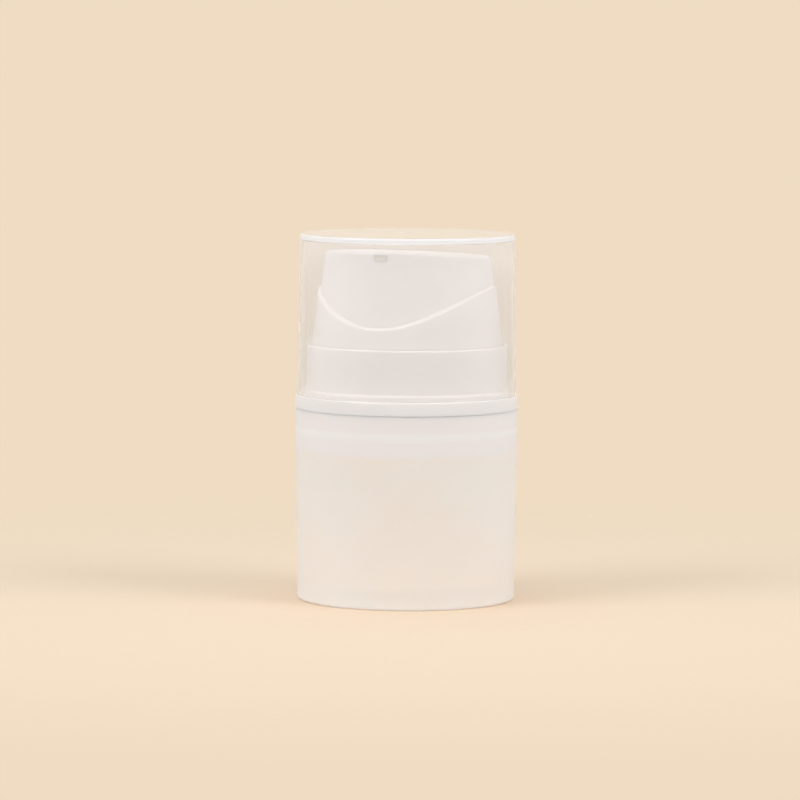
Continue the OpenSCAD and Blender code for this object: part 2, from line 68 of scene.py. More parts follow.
def addNode(tree, kind, inputs={}, **settings):
    # adds a node. Its inputs are named or numbered, or listed in the node's own order, and each is a
    # plain value, the output that feeds it, or a node, which feeds it by its first output.
    node = tree.nodes.new("ShaderNode" + kind)
    for key, value in settings.items():
        setattr(node, key, value)
    for key, value in inputs.items() if isinstance(inputs, dict) else enumerate(inputs):
        if isinstance(value, bpy.types.Node):
            value = value.outputs[0]
        if isinstance(value, bpy.types.NodeSocket):
            tree.links.new(value, node.inputs[key])
        else:
            node.inputs[key].default_value = value
    return node


# A Map Range node that is eased runs smoothly. Its inputs are the value, where it starts and ends, and
# what that becomes. A Mix node of colours has them as inputs 6 and 7, and their blend as output 2.
eased = {"interpolation_type": "SMOOTHSTEP"}


def newMaterial(name):
    material = bpy.data.materials.new(name)
    material.use_nodes = True
    material.node_tree.nodes.clear()
    return material, material.node_tree


def letThrough(tree, plastic, tint):
    # lamps shine on through this plastic and light what is inside, instead of stopping at it
    rays = addNode(tree, "LightPath")
    passing = addNode(tree, "BsdfTransparent", [hexColour(tint)])
    mix = addNode(tree, "MixShader", [rays.outputs["Is Shadow Ray"], plastic, passing])
    addNode(tree, "OutputMaterial", [mix])


def scaleFor(size):
    # noise scale on Object coordinates for a pattern of this size in mm
    return 1 / (size * mm)


def radiusAndHeight(tree, coords):
    # distance from the bottle's axis, and height, both in metres
    place = addNode(tree, "SeparateXYZ", [coords])
    flat = addNode(tree, "CombineXYZ", [place.outputs["X"], place.outputs["Y"]])
    radius = addNode(tree, "VectorMath", [flat], operation="LENGTH")
    return radius.outputs["Value"], place.outputs["Z"]


def seenDirectly(tree):
    # 1 for what the camera sees, also by reflection and through clear plastic, and 0 for light that
    # has already bounced off something matt
    rays = addNode(tree, "LightPath")
    return addNode(tree, "Math", [rays.outputs["Diffuse Depth"], 0.5], operation="LESS_THAN")


# moulding tools: outlines are lists of (radius, height) or (radius, height, rounding), in mm

ribEdge = 0.15     # bevel of a rib's edges
ribSink = 0.6      # how far a rib reaches into the walls that it is fused to
smoothUpTo = 32    # degrees between two faces that are still shaded as one


def snapRing(radius, middle, out, half, flat, rounding, ends):
    # corners of a snap bead or groove, from its lower to its upper end: its face lies this far out from
    # the wall, half is half its height, and flat is half the height of its face
    return [(radius, middle - half, ends), (radius + out, middle - flat, rounding),
            (radius + out, middle + flat, rounding), (radius, middle + half, ends)]


def rounded(outline, closed):
    # turns each corner that has a rounding into an arc, with a narrow strip of flat beside it
    points = []
    last = len(outline) - 1
    for i, corner in enumerate(outline):
        here = Vector(corner[:2])
        rounding = corner[2] if len(corner) > 2 else 0
        if rounding == 0 or (not closed and i in (0, last)):
            points.append(here)
            continue
        before = Vector(outline[i - 1][:2]) - here
        after = Vector(outline[(i + 1) % len(outline)][:2]) - here
        back, ahead = before.normalized(), after.normalized()
        half = back.angle(ahead) / 2
        reach = rounding / math.tan(half)
        strip = [min(0.12, 0.3 * max(length - reach, 0)) for length in (before.length, after.length)]
        centre = here + (back + ahead).normalized() * (rounding / math.sin(half))
        start, end = here + back * reach, here + ahead * reach
        steps = 8 if rounding > 0.6 else 5 if rounding > 0.25 else 3
        points.append(start + back * strip[0])
        sweep = (start - centre).angle_signed(end - centre)
        for step in range(steps + 1):
            arm = (start - centre).copy()
            arm.rotate(Matrix.Rotation(-sweep * step / steps, 2))
            points.append(centre + arm)
        points.append(end + ahead * strip[1])
    return points


def selectFaces(piece, wanted):
    # in edit mode: only the faces whose middle (in mm) and normal answer to wanted
    bpy.ops.mesh.select_mode(type="FACE")
    bpy.ops.mesh.select_all(action="DESELECT")
    bpy.ops.object.mode_set(mode="OBJECT")
    for face in piece.data.polygons:
        face.select = wanted(face.center / mm, face.normal)
    bpy.ops.object.mode_set(mode="EDIT")


def turned(name, outline, closed=False, steps=180):
    # draws half the section from one vertex, and spins it round the bottle's axis
    points = rounded(outline, closed)
    bpy.ops.object.select_all(action="DESELECT")
    bpy.ops.mesh.primitive_plane_add(size=mm)
    piece = bpy.context.object
    piece.name = piece.data.name = name
    bpy.ops.object.mode_set(mode="EDIT")
    bpy.ops.mesh.select_all(action="SELECT")
    bpy.ops.mesh.merge(type="CENTER")
    first = points[0]
    bpy.ops.transform.translate(value=(first.x * mm, 0, first.y * mm))
    for start, end in zip(points, points[1:] + points[:1] * closed):
        move = (end - start) * mm
        bpy.ops.mesh.extrude_vertices_move(TRANSFORM_OT_translate={"value": (move.x, 0, move.y)})
    bpy.ops.mesh.select_all(action="SELECT")
    bpy.ops.mesh.spin(steps=steps, angle=2 * math.pi, center=(0, 0, 0), axis=(0, 0, 1))
    bpy.ops.mesh.select_all(action="SELECT")
    bpy.ops.mesh.remove_doubles(threshold=0.002 * mm)
    bpy.ops.mesh.normals_make_consistent(inside=False)
    bpy.ops.object.mode_set(mode="OBJECT")
    return piece


def addRibs(piece, count, inner, outer, low, high, thick, turn=0):
    # one rounded block, copied round as radial plates and fused to the turned piece
    bpy.ops.object.select_all(action="DESELECT")
    middle = ((inner + outer) / 2 * mm, 0, (low + high) / 2 * mm)
    bpy.ops.mesh.primitive_cube_add(size=mm, location=middle)
    block = bpy.context.object
    block.scale = (outer - inner, thick, high - low)
    bpy.ops.object.transform_apply(location=True, rotation=False, scale=True)
    bpy.ops.object.mode_set(mode="EDIT")
    bpy.ops.mesh.select_all(action="SELECT")
    bpy.ops.mesh.bevel(offset=ribEdge * mm, segments=2)
    bpy.ops.object.mode_set(mode="OBJECT")
    plates = [block]
    for _ in range(1, count):
        plate = block.copy()
        plate.data = block.data.copy()
        bpy.context.scene.collection.objects.link(plate)
        plates.append(plate)
    for i, plate in enumerate(plates):
        plate.rotation_euler.z = math.radians(turn + i * 360 / count)
        plate.select_set(True)
    bpy.ops.object.transform_apply(location=False, rotation=True, scale=False)
    bpy.ops.object.join()
    ring = bpy.context.object
    bpy.context.view_layer.objects.active = piece
    fuse = piece.modifiers.new("fuse ribs", "BOOLEAN")
    fuse.operation = "UNION"
    fuse.solver = "EXACT"
    fuse.object = ring
    bpy.ops.object.modifier_apply(modifier=fuse.name)
    bpy.data.objects.remove(ring)


def finishPiece(piece, body, slot, material, *replaced):
    # smooth shading, its finish, the body that it rides on and the CAD node that it stands for
    bpy.ops.object.select_all(action="DESELECT")
    piece.select_set(True)
    bpy.context.view_layer.objects.active = piece
    bpy.ops.object.shade_smooth_by_angle(angle=math.radians(smoothUpTo))
    piece.data.materials.clear()
    piece.data.materials.append(material)
    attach(piece, body)
    if replaced:
        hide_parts(*replaced)


# plastics and metals

def frostedPolypropylene(bore, skirtFoot, groove):
    # natural polypropylene off a spark-eroded mould: milky, so the inside only shows as soft bands,
    # with a fine satin grain that spreads each reflection. The bore is smoother and lets more through.
    # Painted light: the colour is painted paler where the collar's white skirt lies behind the wall, and
    # palest where its bead fills the groove, for light that sinks in and comes back off that white
    # plastic.
    material, tree = newMaterial("frosted natural polypropylene, satin moulded")
    coords = addNode(tree, "TexCoord").outputs["Object"]
    radius, height = radiusAndHeight(tree, coords)
    inWall = addNode(tree, "MapRange", [radius, (bore + 0.2) * mm, (bore + 0.6) * mm, 0.9, 0.09], **eased)
    offFloor = addNode(tree, "MapRange", [height, 1.5 * mm, 4 * mm, 0.3, 1], **eased)
    clear = addNode(tree, "Math", [inWall, offFloor], operation="MULTIPLY")
    skirtEdge = ((skirtFoot - 0.5) * mm, (skirtFoot + 0.7) * mm)
    # painted light: the colour turns paler above the skirt's foot, where the white skirt glows through
    # the wall
    paintedGlowMask = addNode(tree, "MapRange", [height, *skirtEdge, 0, 1], **eased)
    aboveBead = addNode(tree, "Math", [height, groove * mm], operation="SUBTRACT")
    offBead = addNode(tree, "Math", [aboveBead], operation="ABSOLUTE")
    beadGlowShare = addNode(tree, "MapRange", [offBead, 0, 1.3 * mm, 1, 0], **eased)
    cloud = addNode(tree, "TexNoise", {"Vector": coords, "Scale": scaleFor(20), "Detail": 1})
    clouded = addNode(tree, "MapRange", [cloud, 0.3, 0.7, 0, 1], **eased)
    rough = addNode(tree, "MapRange", [cloud, 0.3, 0.7, 0.4, 0.46], **eased)
    # the real grain is 0.05 mm, too fine to show
    grain = addNode(tree, "TexNoise", {"Vector": coords, "Scale": scaleFor(0.3), "Detail": 2})
    bump = addNode(tree, "Bump", {"Strength": 0.25, "Distance": 0.01 * mm, "Height": grain})
    warm = addNode(tree, "Mix", {
        0: clouded, 6: hexColour("#ffefe7"), 7: hexColour("#ffede4")}, data_type="RGBA")
    # painted light colours: paler where the skirt lies behind the wall, palest on the bead
    paintedSkirtGlow = addNode(tree, "Mix", {
        0: beadGlowShare, 6: hexColour("#f6efec"), 7: hexColour("#f9f4f1")}, data_type="RGBA")
    colour = addNode(tree, "Mix", {0: paintedGlowMask, 6: warm.outputs[2], 7: paintedSkirtGlow.outputs[2]}, data_type="RGBA")
    plastic = addNode(tree, "BsdfPrincipled", {
        "Base Color": colour.outputs[2], "Roughness": rough, "IOR": 1.49,
        "Transmission Weight": clear, "Normal": bump,
        "Subsurface Weight": 1.0, "Subsurface Radius": (1.0, 0.9, 0.8), "Subsurface Scale": 0.9 * mm})
    letThrough(tree, plastic, "#f6f0ea")
    return material


def clearPolypropylene(wallTop, wallRadius):
    # clarified polypropylene off a polished mould: nearly clear, with a slight haze that gathers into
    # a white band where the sight goes into the thickness of the top, and along the edges of the wall
    material, tree = newMaterial("clarified polypropylene, polished moulding")
    coords = addNode(tree, "TexCoord").outputs["Object"]
    radius, height = radiusAndHeight(tree, coords)
    wallEdge = ((wallRadius - 0.35) * mm, (wallRadius - 0.1) * mm)
    onWall = addNode(tree, "MapRange", [radius, *wallEdge, 0, 1], **eased)
    high = addNode(tree, "MapRange", [height, (wallTop - 0.1) * mm, (wallTop + 0.15) * mm, 0, 1], **eased)
    inBand = addNode(tree, "Math", [onWall, high], operation="MULTIPLY")
    offBand = addNode(tree, "MapRange", [inBand, 0, 1, 1, 0.2], **eased)
    grazing = addNode(tree, "LayerWeight", [0.5]).outputs["Facing"]
    offEdge = addNode(tree, "MapRange", [grazing, 0.65, 1, 0.79, 0.3], **eased)
    clear = addNode(tree, "Math", [offBand, offEdge], operation="MULTIPLY")
    flow = addNode(tree, "TexNoise", {"Vector": coords, "Scale": scaleFor(9), "Detail": 3})
    rough = addNode(tree, "MapRange", [flow, 0.3, 0.7, 0.03, 0.06], **eased)
    bump = addNode(tree, "Bump", {"Strength": 0.05, "Distance": 0.01 * mm, "Height": flow})
    plastic = addNode(tree, "BsdfPrincipled", {
        "Base Color": hexColour("#fcfaf9"), "IOR": 1.49, "Roughness": rough,
        "Transmission Weight": clear, "Normal": bump})
    letThrough(tree, plastic, "#ffffff")
    return material


def whitePolypropylene(name, light, dark):
    # white polypropylene off a polished mould: even and glossy, slightly soft where light sinks in,
    # with the faintest flow clouds
    material, tree = newMaterial(name)
    coords = addNode(tree, "TexCoord").outputs["Object"]
    cloud = addNode(tree, "TexNoise", {"Vector": coords, "Scale": scaleFor(25), "Detail": 0})
    clouded = addNode(tree, "MapRange", [cloud, 0.3, 0.7, 0, 1], **eased)
    rough = addNode(tree, "MapRange", [cloud, 0.3, 0.7, 0.28, 0.33], **eased)
    ripple = addNode(tree, "TexNoise", {"Vector": coords, "Scale": scaleFor(2.5), "Detail": 2})
    bump = addNode(tree, "Bump", {"Strength": 0.05, "Distance": 0.004 * mm, "Height": ripple})
    colour = addNode(tree, "Mix", {0: clouded, 6: hexColour(light), 7: hexColour(dark)}, data_type="RGBA")
    plastic = addNode(tree, "BsdfPrincipled", {
        "Base Color": colour.outputs[2], "Roughness": rough, "IOR": 1.49, "Normal": bump,
        "Subsurface Weight": 1.0, "Subsurface Radius": (1.0, 0.95, 0.9), "Subsurface Scale": 0.8 * mm})
    addNode(tree, "OutputMaterial", [plastic])
    return material


def mattPolyethylene():
    # soft low-density polyethylene, moulded: waxy and matt, so that its lips can bend and wipe
    material, tree = newMaterial("white polyethylene, matt moulding")
    coords = addNode(tree, "TexCoord").outputs["Object"]
    cloud = addNode(tree, "TexNoise", {"Vector": coords, "Scale": scaleFor(8), "Detail": 3})
    clouded = addNode(tree, "MapRange", [cloud, 0.3, 0.7, 0, 1], **eased)
    rough = addNode(tree, "MapRange", [cloud, 0.3, 0.7, 0.5, 0.6], **eased)
    grain = addNode(tree, "TexNoise", {"Vector": coords, "Scale": scaleFor(0.4), "Detail": 2})
    bump = addNode(tree, "Bump", {"Strength": 0.2, "Distance": 0.02 * mm, "Height": grain})
    colour = addNode(tree, "Mix", {
        0: clouded, 6: hexColour("#f3efe9"), 7: hexColour("#ebe6df")}, data_type="RGBA")
    plastic = addNode(tree, "BsdfPrincipled", {
        "Base Color": colour.outputs[2], "Roughness": rough, "IOR": 1.51, "Normal": bump,
        "Subsurface Weight": 0.5, "Subsurface Radius": (1.0, 0.9, 0.8), "Subsurface Scale": 1.5 * mm})
    addNode(tree, "OutputMaterial", [plastic])
    return material


def naturalPolypropylene():
    # unpigmented polypropylene for the pump's pieces: milky, and a little see-through where it is thin
    material, tree = newMaterial("natural polypropylene, moulded")
    coords = addNode(tree, "TexCoord").outputs["Object"]
    cloud = addNode(tree, "TexNoise", {"Vector": coords, "Scale": scaleFor(5), "Detail": 3})
    clouded = addNode(tree, "MapRange", [cloud, 0.3, 0.7, 0, 1], **eased)
    rough = addNode(tree, "MapRange", [cloud, 0.3, 0.7, 0.3, 0.38], **eased)
    bump = addNode(tree, "Bump", {"Strength": 0.1, "Distance": 0.01 * mm, "Height": cloud})
    colour = addNode(tree, "Mix", {
        0: clouded, 6: hexColour("#eeeeea"), 7: hexColour("#e4e4df")}, data_type="RGBA")
    plastic = addNode(tree, "BsdfPrincipled", {
        "Base Color": colour.outputs[2], "Roughness": rough, "IOR": 1.49,
        "Transmission Weight": 0.3, "Normal": bump})
    addNode(tree, "OutputMaterial", [plastic])
    return material


def softGasket():
    # foamed polyethylene washer, punched from sheet: matt, with tiny closed cells
    material, tree = newMaterial("foamed polyethylene, punched")
    coords = addNode(tree, "TexCoord").outputs["Object"]
    cells = addNode(tree, "TexVoronoi", {"Vector": coords, "Scale": scaleFor(0.35)})
    paler = addNode(tree, "MapRange", [cells.outputs["Distance"], 0, 0.6, 0, 1], **eased)
    rough = addNode(tree, "MapRange", [cells.outputs["Distance"], 0, 0.6, 0.75, 0.85], **eased)
    bump = addNode(tree, "Bump", {
        "Strength": 0.5, "Distance": 0.03 * mm, "Height": cells.outputs["Distance"]})
    colour = addNode(tree, "Mix", {
        0: paler, 6: hexColour("#d3d5d8"), 7: hexColour("#e2e3e5")}, data_type="RGBA")
    foam = addNode(tree, "BsdfPrincipled", {
        "Base Color": colour.outputs[2], "Roughness": rough, "IOR": 1.5, "Normal": bump})
    addNode(tree, "OutputMaterial", [foam])
    return material


def stainlessSteel(name, low, high, line):
    # stainless steel with the fine marks of its making, this far apart
    material, tree = newMaterial(name)
    coords = addNode(tree, "TexCoord").outputs["Object"]
    marks = addNode(tree, "TexNoise", {"Vector": coords, "Scale": scaleFor(line), "Detail": 3})
    marked = addNode(tree, "MapRange", [marks, 0.3, 0.7, 0, 1], **eased)
    rough = addNode(tree, "MapRange", [marks, 0.3, 0.7, low, high], **eased)
    bump = addNode(tree, "Bump", {"Strength": 0.2, "Distance": 0.005 * mm, "Height": marks})
    colour = addNode(tree, "Mix", {
        0: marked, 6: hexColour("#c9cbcd"), 7: hexColour("#babcbf")}, data_type="RGBA")
    steel = addNode(tree, "BsdfPrincipled", {
        "Base Color": colour.outputs[2], "Metallic": 1.0, "Roughness": rough, "Normal": bump})
    addNode(tree, "OutputMaterial", [steel])
    return material


# camera at the photograph's angle: the nozzle points to the left of it, and it looks a little down

view = {
    "distance": 1052.4,  # from the bottle's axis
    "height": 135.3,
    "aside": 1.47,       # how far right of the picture's middle the axis stands
    "turn": 18.4,        # degrees round from the nozzle
    "pitch": 4.98,       # degrees down
    "roll": 0.322,       # degrees
    "sensor": 36.0,
    "lens": 216.9,
}


def viewAxes():
    # level directions to the right of the camera, and away from it
    turn = math.radians(view["turn"])
    return Vector((math.cos(turn), math.sin(turn), 0)), Vector((-math.sin(turn), math.cos(turn), 0))


def makeCamera():
    right, away = viewAxes()
    pitch, roll = math.radians(view["pitch"]), math.radians(view["roll"])
    ahead = away * math.cos(pitch) - Vector((0, 0, math.sin(pitch)))
    upward = away * math.sin(pitch) + Vector((0, 0, math.cos(pitch)))
    side = right * math.cos(roll) + upward * math.sin(roll)
    top = upward * math.cos(roll) - right * math.sin(roll)
    data = bpy.data.cameras.new("camera")
    data.sensor_width = view["sensor"]
    data.lens = view["lens"]
    data.clip_start, data.clip_end = 0.05, 100
    camera = bpy.data.objects.new("camera", data)
    bpy.context.scene.collection.objects.link(camera)
    place = -right * view["aside"] - away * view["distance"] + Vector((0, 0, view["height"]))
    facing = Matrix((side, top, -ahead)).transposed().to_4x4()
    camera.matrix_world = Matrix.Translation(place * mm) @ facing
    bpy.context.scene.camera = camera


makeCamera()
print("camera set")


# studio: soft lamps, a pale floor and a pale backdrop

studio = {
    "backdrop": "#efdcc3",
    "floor": "#ebd8c0",
    "bounce": "#e6e2de",  # what the floor throws back on to the object
    "ambient": "#ffffff",
    "ambientLevel": 0.64,
    "floorClear": 60,     # radius over which the floor is plain and lit
    "floorFade": 250,     # radius at which it has become the backdrop
    "floorRadius": 275,
    # aside, behind, up, width, watts
    "lamps": {
        "overhead softbox": (-60, 40, 900, 700, 1.35),
        "left softbox": (-660, -400, 560, 560, 2.55),
        "right softbox": (660, -370, 540, 560, 2.45),
    },
}


def makeLamp(name, aside, behind, up, width, watts):
    right, away = viewAxes()
    data = bpy.data.lights.new(name, "AREA")
    data.shape = "DISK"
    data.size = width * mm
    data.energy = watts
    lamp = bpy.data.objects.new(name, data)
    bpy.context.scene.collection.objects.link(lamp)
    place = (right * aside + away * behind + Vector((0, 0, up))) * mm
    aim = Vector((0, 0, 45 * mm)) - place
    lamp.matrix_world = Matrix.Translation(place) @ aim.to_track_quat("-Z", "Y").to_matrix().to_4x4()


def makeWorld():
    world = bpy.data.worlds.new("studio")
    bpy.context.scene.world = world
    world.use_nodes = True
    tree = world.node_tree
    tree.nodes.clear()
    ambient = addNode(tree, "Background", [hexColour(studio["ambient"]), studio["ambientLevel"]])
    backdrop = addNode(tree, "Background", [hexColour(studio["backdrop"]), 1.0])
    mix = addNode(tree, "MixShader", [seenDirectly(tree), ambient, backdrop])
    addNode(tree, "OutputWorld", [mix])


def makeFloor():
    bpy.ops.object.select_all(action="DESELECT")
    bpy.ops.mesh.primitive_circle_add(vertices=96, radius=studio["floorRadius"] * mm, fill_type="NGON")
    floor = bpy.context.object
    floor.name = floor.data.name = "floor"
    material, tree = newMaterial("matt cream card")
    coords = addNode(tree, "TexCoord").outputs["Object"]
    flecks = addNode(tree, "TexNoise", {"Vector": coords, "Scale": scaleFor(1.5), "Detail": 3})
    fibre = addNode(tree, "MapRange", [flecks, 0.3, 0.7, 0, 0.04], **eased)
    paintedDuctGlow = addNode(tree, "Mix", {
        0: fibre, 6: hexColour(studio["floor"]), 7: hexColour("#ffffff")}, data_type="RGBA")
    colour = addNode(tree, "Mix", {
        0: seenDirectly(tree), 6: hexColour(studio["bounce"]), 7: paintedDuctGlow.outputs[2]}, data_type="RGBA")
    card = addNode(tree, "BsdfDiffuse", [colour.outputs[2]])
    clear = addNode(tree, "BsdfTransparent")
    away = addNode(tree, "VectorMath", [coords], operation="LENGTH").outputs["Value"]
    plain, faded = studio["floorClear"] * mm, studio["floorFade"] * mm
    fade = addNode(tree, "MapRange", [away, plain, faded, 0, 1], **eased)
    mix = addNode(tree, "MixShader", [fade, card, clear])
    addNode(tree, "OutputMaterial", [mix])
    floor.data.materials.append(material)


for name, values in studio["lamps"].items():
    makeLamp(name, *values)
makeWorld()
makeFloor()
bpy.context.scene.view_settings.view_transform = "Standard"
print("studio lit")


# materials that several pieces share

whitePlastic = whitePolypropylene("white polypropylene, polished moulding", "#ece8e6", "#ebe7e5")
pumpPlastic = naturalPolypropylene()
lipPlastic = mattPolyethylene()


# bottle

bottle = {
    "footWall": 1.35,
    "standing": 2.6,     # width of the ring that it stands on
    "recess": 1.0,
    "floorTop": 2.4,
    "bore": 22.4,
    "leadIn": 0.4,       # chamfer at the mouth
    "ventHole": 0.75,
    "groove": 37.5,      # height of the groove for the collar's bead
    "grooveDeep": 0.33,
    "grooveHalf": 0.7,
    "grooveFlat": 0.15,
    "ribCount": 6,
    "ribThick": 1.0,
    "ribTop": 3.9,
}


def makeBottle():
    high = boxOf("bottle_body")[1]
    seat, top = high.x, high.z
    bore, floor, recess = bottle["bore"], bottle["floorTop"], bottle["recess"]
    foot = bore + bottle["footWall"]
    hollow, vent = foot - bottle["standing"], bottle["ventHole"]
    leadIn = bottle["leadIn"]
    groove = snapRing(bore, bottle["groove"], bottle["grooveDeep"], bottle["grooveHalf"],
                      bottle["grooveFlat"], 0.1, 0)
    outline = [
        (vent, recess, 0.08), (hollow, recess, 0.5), (hollow, 0, 0.3),
        (foot, 0, 0.7), (seat, top, 0.05), (bore + leadIn, top, 0.08), (bore, top - leadIn, 0.05),
        *reversed(groove), (bore, floor, 0.6), (vent, floor, 0.08),
    ]
    piece = turned("frosted_bottle", outline, closed=True)
    addRibs(piece, bottle["ribCount"], bore / 3, bore + ribSink, floor - ribSink, bottle["ribTop"],
            bottle["ribThick"])
    material = frostedPolypropylene(bore, boxOf("collar")[0].z, bottle["groove"])
    finishPiece(piece, "bottle", "frosted_body", material, "bottle_body")


makeBottle()
print("bottle moulded")


# collar: skirt, visible ring, spigot and the guide wall round the head

collar = {
    "deckThick": 1.3,
    "ringTop": 45.0,
    "ringNarrows": 0.2,
    "spigot": 23.0,
    "spigotHigh": 1.4,
    "guideWall": 0.86,
    "guideDraft": 0.15,
    "guideBore": 21.0,
    "skirtGap": 0.05,    # between the skirt and the bottle's bore
    "beadProud": 0.3,
    "beadHalf": 0.6,
    "beadFlat": 0.15,
    "bossBore": 5.35,
    "boss": 7.8,
    "bossTop": 41.0,
    "catch": 38.6,       # height of the groove that the chaplet snaps into
    "catchDeep": 0.3,
    "catchHalf": 0.6,
    "catchFlat": 0.2,
    "ribCount": 8,
    "ribThick": 0.9,
    "ribHigh": 2.4,
}


def makeCollar():
    low, high = boxOf("collar")
    foot, ring, rim = low.z, high.x, high.z
    seat, ringTop = boxOf("bottle_body")[1].z, collar["ringTop"]
    deck = foot + collar["deckThick"]
    skirt, guide = bottle["bore"] - collar["skirtGap"], collar["guideBore"]
    guideOut = guide + collar["guideWall"]
    spigot, spigotTop = collar["spigot"], ringTop + collar["spigotHigh"]
    boss, bossBore, bossTop = collar["boss"], collar["bossBore"], collar["bossTop"]
    bead = snapRing(skirt, bottle["groove"], collar["beadProud"], collar["beadHalf"],
                    collar["beadFlat"], 0.2, 0.2)
    catch = snapRing(boss, collar["catch"], -collar["catchDeep"], collar["catchHalf"],
                     collar["catchFlat"], 0.1, 0.1)
    outline = [
        (bossBore, foot, 0.15), (skirt, foot, 0.4), *bead, (skirt, seat, 0.1), (ring, seat, 0.05),
        (ring - collar["ringNarrows"], ringTop, 0.14), (spigot, ringTop, 0.1), (spigot, spigotTop, 0.5),
        (guideOut + collar["guideDraft"], spigotTop, 0.12), (guideOut, rim, 0.29), (guide, rim, 0.2),
        (guide, deck, 0.5), (boss, deck, 0.3), *catch, (boss, bossTop, 0.15), (bossBore, bossTop, 0.1),
    ]
    piece = turned("collar_moulding", outline, closed=True)
    addRibs(piece, collar["ribCount"], boss - ribSink, guide + ribSink, deck - ribSink,
            deck + collar["ribHigh"], collar["ribThick"], 180 / collar["ribCount"])
    finishPiece(piece, "bottle", "white_polypropylene", whitePlastic, "collar")


makeCollar()
print("collar moulded")


# overcap

overcap = {
    "wall": 1.05,
    "topThick": 1.25,
    "topRound": 0.45,
    "draft": 0.86,        # degrees
    "gate": 1.5,          # radius of the shallow dimple that the moulding gate leaves
    "gateDeep": 0.06,
}


def makeOvercap():
    low, high = boxOf("overcap")
    foot, bottom, top = high.x, low.z, high.z
    slope = math.tan(math.radians(overcap["draft"]))
    ceiling = top - overcap["topThick"]
    shoulder = foot - slope * (top - bottom)
    bore = foot - overcap["wall"]
    gate, deep = overcap["gate"], overcap["gateDeep"]
    outline = [
        (0, top - deep), (gate / 2, top - deep, 0.4), (gate, top, 0.4),
        (shoulder, top, overcap["topRound"]), (foot, bottom, 0.12), (bore, bottom, 0.12),
        (bore - slope * (ceiling - bottom), ceiling, 0.3), (0, ceiling),
    ]
    piece = turned("clear_overcap", outline)
    material = clearPolypropylene(ceiling, shoulder)
    finishPiece(piece, "cap", "clear_overcap", material, "overcap")


makeOvercap()
print("overcap moulded")


# shell of the pump head: drafted sides under an arch, whose edge is the swept ledge

head = {
    "draft": 6.2,        # degrees
    "ledge": 0.45,
    "ledgeSwell": 0.35,  # how much deeper the ledge is on the flanks
    "ledgeDrop": 0.3,    # how much lower its edge is there
    "archRadius": 31.4,
    "archHigh": 37.5,    # height of the arch's middle
    "archBack": 1.36,    # how far its middle lies behind the axis
    "frontEdge": 21.6,   # height of the front edge above the guide rim
    "topTilt": 5.5,      # degrees, down to the back
    "topRound": 1.3,
    "wall": 1.1,
    "topWall": 1.2,
    "slotWide": 2.9,
    "slotHigh": 1.3,
    "slotDrop": 2.0,     # depth of its middle under the top
    "slotColumns": 6,
    "columns": 240,      # in the whole shell
    "ribCount": 8,
    "ribDeep": 2.6,
    "ribFoot": 3.0,      # height of the ribs' foot above the guide rim
    "beadProud": 0.35,
    # heights above the guide rim where the bead inside starts, is full, falls back and ends
    "beadSteps": (0.4, 1.1, 1.4, 1.6),
}
headFoot, headRadius = boxOf("actuator_shell")[0].z, boxOf("actuator_shell")[1].x
guideRim = boxOf("collar")[1].z


def headProfile(bearing):
    # section of the shell at this bearing from the nozzle, in degrees
    radius, foot, rim = headRadius, headFoot, guideRim
    draft = math.tan(math.radians(head["draft"]))
    tilt = math.radians(head["topTilt"])
    away = math.cos(math.radians(bearing))
    front = radius - head["ledge"] - draft * head["frontEdge"]

    def archEdge(out, inset):
        # where the side of this radius at the rim meets the arch
        z = rim
        for _ in range(12):
            along = (out - draft * (z - rim)) * away + head["archBack"]
            z = head["archHigh"] + math.sqrt((head["archRadius"] - inset) ** 2 - along ** 2)
        return out - draft * (z - rim), z

    def underTop(out, depth):
        # where the side meets the plane this deep under the sloping top
        level = rim + head["frontEdge"] - front * math.tan(tilt) - depth / math.cos(tilt)
        r = (out - draft * (level - rim)) / (1 + draft * away * math.tan(tilt))
        return r, level + r * away * math.tan(tilt)

    flank = math.sin(2 * math.radians(bearing)) ** 2
    upper = radius - head["ledge"] - head["ledgeSwell"] * flank
    inner = radius - head["wall"]
    edge, edgeHigh = archEdge(radius, 0)
    drop = head["ledgeDrop"] * flank
    slotTop, slotFoot = (head["slotDrop"] + side * head["slotHigh"] / 2 for side in (-1, 1))
    bead, innerUpper = inner - head["beadProud"], upper - head["wall"]
    start, full, falls, end = head["beadSteps"]
    ribFoot = head["ribFoot"]
    return [
        (0, underTop(0, 0)[1]), (*underTop(upper, 0), head["topRound"]),
        underTop(upper, slotTop), underTop(upper, slotFoot),
        (*archEdge(upper, 0), 0.1), (edge + draft * drop, edgeHigh - drop, 0.1),
        (radius, rim), (radius, foot, 0.3), (inner, foot, 0.2),
        (inner, rim + start, 0.1), (bead, rim + full, 0.1), (bead, rim + falls, 0.1),
        (inner - draft * end, rim + end), (inner - draft * ribFoot, rim + ribFoot),
        archEdge(inner, head["wall"]), archEdge(innerUpper, head["wall"]),
        underTop(innerUpper, slotFoot), underTop(innerUpper, slotTop),
        underTop(innerUpper, head["topWall"]), (0, underTop(0, head["topWall"])[1]),
    ]


slotEdge = math.degrees(math.asin(head["slotWide"] / 2 / headProfile(0)[2][0]))


def columnBearing(column):
    # columns stand evenly, but for those at the front, which are moved a little to edge the slot
    step = 360 / head["columns"]
    reach = head["slotColumns"] / 2 * step
    bearing = (column * step + 180) % 360 - 180
    if abs(bearing) <= reach:
        return bearing * slotEdge / reach
    return math.copysign(180 - (180 - abs(bearing)) * (180 - slotEdge) / (180 - reach), bearing)


